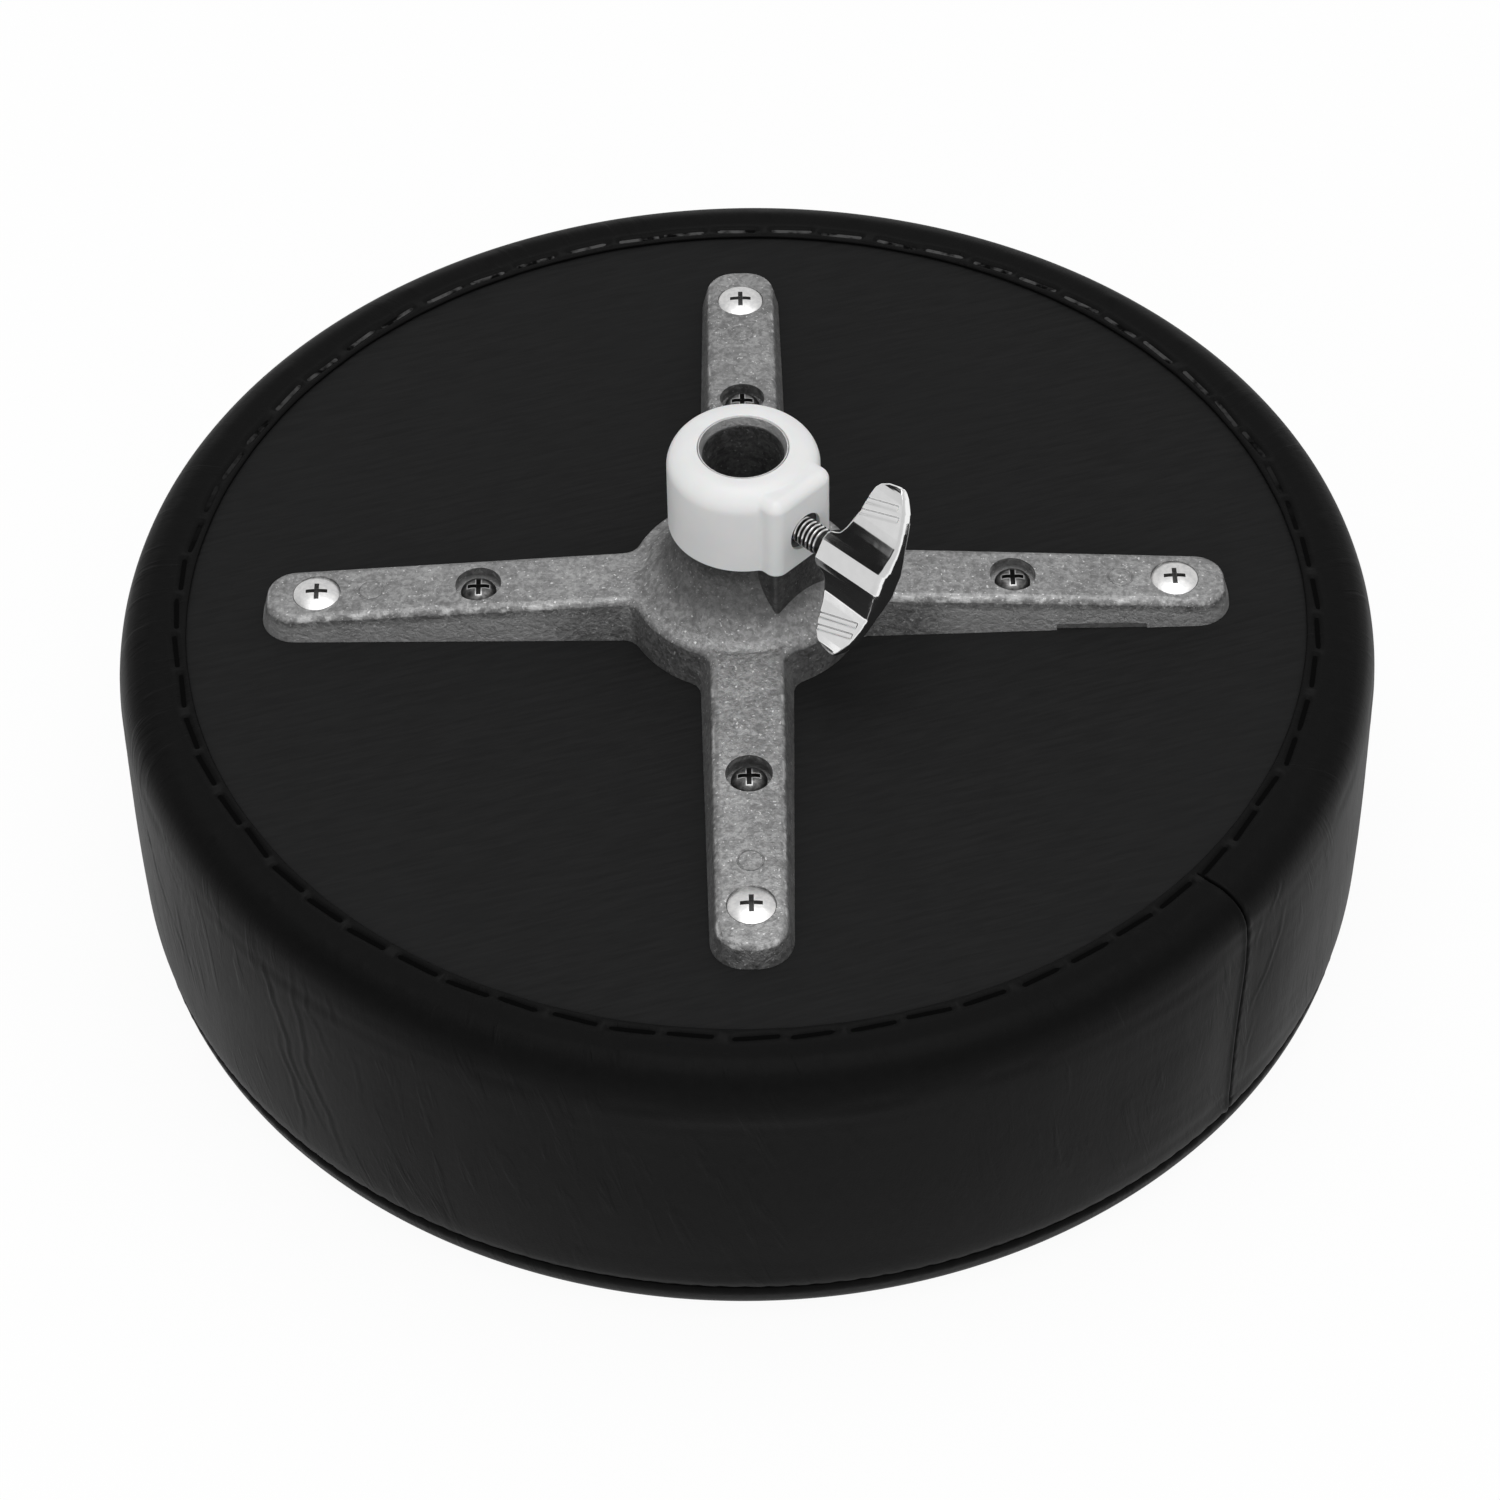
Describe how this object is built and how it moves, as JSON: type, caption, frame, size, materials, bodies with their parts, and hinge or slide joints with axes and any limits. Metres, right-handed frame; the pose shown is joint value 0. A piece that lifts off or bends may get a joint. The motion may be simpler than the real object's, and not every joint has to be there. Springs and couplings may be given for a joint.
{
  "type": "drum throne",
  "caption": "Round padded drum-throne seat lying upside down, with a cast four-arm mount, a blind post socket in a nylon collar and a wing bolt that clamps the post.",
  "frame": {"origin": "centre of the sitting face, which is the lowest face as the seat lies upside down", "axes": "+Z from the sitting face up through the board to the mouth of the post socket; the mount's arms lie along +X, -X, +Y and -Y; the wing bolt points halfway between +X and -Y"},
  "size_m": [0.3499, 0.35, 0.1647],
  "materials": {
    "vinyl": "black leather-grained vinyl, soft sheen",
    "soft_foam": "open-cell comfort foam",
    "firm_foam": "firm bonded foam",
    "black_plywood": "plywood painted thin matt black, grain showing",
    "staple_wire": "black coated wire",
    "cast_aluminium": "tumbled raw casting, mottled grey",
    "white_nylon": "natural white nylon",
    "shoe_steel": "plain steel",
    "bolt_steel": "bright plated thread",
    "chrome": "chrome plated casting",
    "zinc": "bright zinc plate",
    "tee_nut_steel": "zinc plated pressing",
    "dark_screw": "dark plated steel"
  },
  "bodies": {
    "seat": {"cover_top_panel": "vinyl", "cover_side_band": "vinyl", "foam_soft_layer": "soft_foam", "foam_firm_layer": "firm_foam", "seat_board": "black_plywood", "staples": "staple_wire", "spider_bracket": "cast_aluminium", "collar": "white_nylon", "mounting_screw_1": "zinc", "mounting_screw_2": "zinc", "mounting_screw_3": "zinc", "mounting_screw_4": "zinc", "tee_nut_1": "tee_nut_steel", "tee_nut_2": "tee_nut_steel", "tee_nut_3": "tee_nut_steel", "tee_nut_4": "tee_nut_steel", "wood_screw_1": "dark_screw", "wood_screw_2": "dark_screw", "wood_screw_3": "dark_screw", "wood_screw_4": "dark_screw"},
    "clamp_shoe": {"clamp_shoe": "shoe_steel"},
    "wing_bolt": {"wing_bolt_stud": "bolt_steel", "wing_handle": "chrome"}
  },
  "joints": [
    {"name": "wing_bolt_travel", "type": "slide", "parent": "seat", "child": "clamp_shoe", "axis": [0.7071, -0.7071, 0], "range_m": [-0.00739, 0.00485]},
    {"name": "wing_bolt_turn", "type": "hinge", "parent": "clamp_shoe", "child": "wing_bolt", "pos_m": [0, 0, 0.1416], "axis": [0.7071, -0.7071, 0], "range_deg": [-1872, 1224]}
  ],
  "couplings": [
    {"joint": "wing_bolt_travel", "follows": "wing_bolt_turn", "m_per_rad": 0.00022458}
  ]
}
